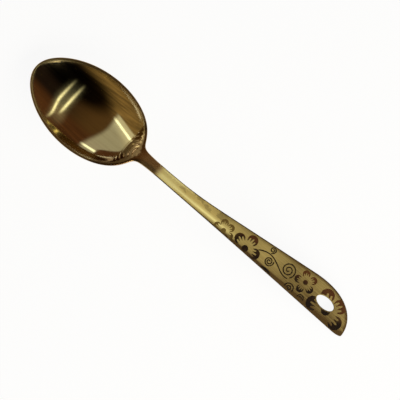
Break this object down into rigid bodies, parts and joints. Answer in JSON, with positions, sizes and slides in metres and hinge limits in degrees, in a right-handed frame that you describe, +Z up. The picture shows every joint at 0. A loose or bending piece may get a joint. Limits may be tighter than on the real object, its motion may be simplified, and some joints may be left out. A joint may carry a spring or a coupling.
{
  "type": "serving spoon",
  "caption": "Brass serving spoon with an egg-shaped polished bowl and a flared, arched handle with an oval hanging hole and dark flower and vine fills.",
  "frame": {"origin": "middle of the spoon's box, on the table that the bowl's underside and the handle's tip rest on", "axes": "+X along the spoon from the bowl's tip to the handle's tip, +Z up out of the bowl, +Y toward the handle's flared edge"},
  "size_m": [0.225, 0.0472, 0.0205],
  "materials": {
    "bowl_brass": "mirror polished, warm gold, lightly brushed toward the neck",
    "handle_brass": "satin, warm gold, slightly darkened along the edges",
    "enamel": "dark brown to black enamel, flush with the metal, semi-gloss"
  },
  "bodies": {
    "root": {"bowl": "bowl_brass", "handle": "handle_brass", "flower_1_petal_1": "enamel", "flower_1_petal_2": "enamel", "flower_1_petal_3": "enamel", "flower_1_petal_4": "enamel", "flower_1_eye": "enamel", "flower_2_petal_1": "enamel", "flower_2_petal_2": "enamel", "flower_2_petal_3": "enamel", "flower_2_eye": "enamel", "flower_3_petal_1": "enamel", "flower_3_petal_2": "enamel", "flower_3_petal_3": "enamel", "flower_3_petal_4": "enamel", "flower_3_petal_5": "enamel", "flower_3_eye": "enamel", "flower_4_petal_1": "enamel", "flower_4_petal_2": "enamel", "flower_4_petal_3": "enamel", "flower_4_petal_4": "enamel", "flower_4_eye": "enamel", "vine_stem": "enamel", "vine_curl": "enamel", "small_scroll": "enamel", "large_scroll": "enamel", "edge_arch": "enamel", "edge_scroll_1_outer": "enamel", "edge_scroll_1_inner": "enamel", "edge_scroll_2_outer": "enamel", "edge_scroll_2_inner": "enamel"}
  },
  "joints": []
}
